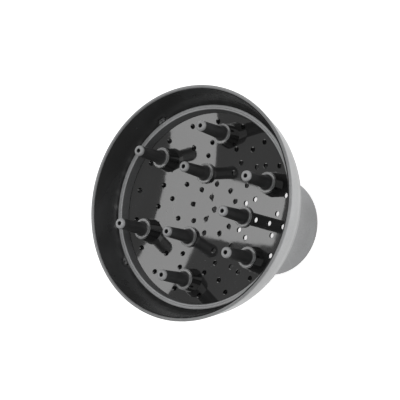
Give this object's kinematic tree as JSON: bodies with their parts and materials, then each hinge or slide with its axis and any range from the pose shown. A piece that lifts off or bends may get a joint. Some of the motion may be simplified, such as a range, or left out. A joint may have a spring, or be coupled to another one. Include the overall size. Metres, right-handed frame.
{
  "type": "hair dryer diffuser",
  "caption": "Bell-shaped bowl diffuser for a hair dryer: a round neck opens into a flared housing that carries a removable perforated dish with hollow fingers.",
  "frame": {"origin": "centre of the open end of the neck, at the bottom centre of the object standing on its neck", "axes": "+Z along the axis, from the neck out of the mouth; +X points at the first of the three inner fingers"},
  "size_m": [0.16, 0.16, 0.1261],
  "materials": {
    "bell_plastic": "mid-grey moulded plastic with a fine matte texture",
    "bezel_plastic": "light-grey satin plastic",
    "flare_plastic": "dark polished plastic",
    "grip_rubber": "soft black rubber, grooved",
    "dish_plastic": "near-black plastic polished like a mirror",
    "rim_plastic": "light-grey satin plastic",
    "finger_plastic": "dark satin plastic",
    "nose_plastic": "light-grey satin plastic",
    "latch_plastic": "light-grey satin plastic",
    "pin_steel": "drawn steel wire"
  },
  "bodies": {
    "housing": {"rear_bell": "bell_plastic", "bezel_shell": "bezel_plastic", "flare_liner": "flare_plastic", "grip_sleeve": "grip_rubber", "latch_pins": "pin_steel"},
    "dish_insert": {"dish": "dish_plastic", "dish_trim_ring": "rim_plastic", "lock_ring": "rim_plastic", "outer_finger_1": "finger_plastic", "outer_finger_2": "finger_plastic", "outer_finger_3": "finger_plastic", "outer_finger_4": "finger_plastic", "outer_finger_5": "finger_plastic", "outer_finger_6": "finger_plastic", "outer_finger_nose_1": "nose_plastic", "outer_finger_nose_2": "nose_plastic", "outer_finger_nose_3": "nose_plastic", "outer_finger_nose_4": "nose_plastic", "outer_finger_nose_5": "nose_plastic", "outer_finger_nose_6": "nose_plastic", "inner_finger_1": "finger_plastic", "inner_finger_2": "finger_plastic", "inner_finger_3": "finger_plastic", "inner_finger_nose_1": "nose_plastic", "inner_finger_nose_2": "nose_plastic", "inner_finger_nose_3": "nose_plastic"},
    "latch_1": {"rim_latch_1": "latch_plastic"},
    "latch_2": {"rim_latch_2": "latch_plastic"},
    "latch_3": {"rim_latch_3": "latch_plastic"},
    "latch_4": {"rim_latch_4": "latch_plastic"}
  },
  "joints": [
    {"name": "dish_lift", "type": "slide", "parent": "housing", "child": "dish_insert", "axis": [0, 0, 1], "range_m": [0, 0.045]},
    {"name": "latch_1_tilt", "type": "hinge", "parent": "housing", "child": "latch_1", "pos_m": [0.05051, 0.05051, 0.0974], "axis": [-0.7071, 0.7071, 0], "range_deg": [0, 10]},
    {"name": "latch_2_tilt", "type": "hinge", "parent": "housing", "child": "latch_2", "pos_m": [-0.05051, 0.05051, 0.0974], "axis": [-0.7071, -0.7071, 0], "range_deg": [0, 10]},
    {"name": "latch_3_tilt", "type": "hinge", "parent": "housing", "child": "latch_3", "pos_m": [-0.05051, -0.05051, 0.0974], "axis": [0.7071, -0.7071, 0], "range_deg": [0, 10]},
    {"name": "latch_4_tilt", "type": "hinge", "parent": "housing", "child": "latch_4", "pos_m": [0.05051, -0.05051, 0.0974], "axis": [0.7071, 0.7071, 0], "range_deg": [0, 10]}
  ]
}
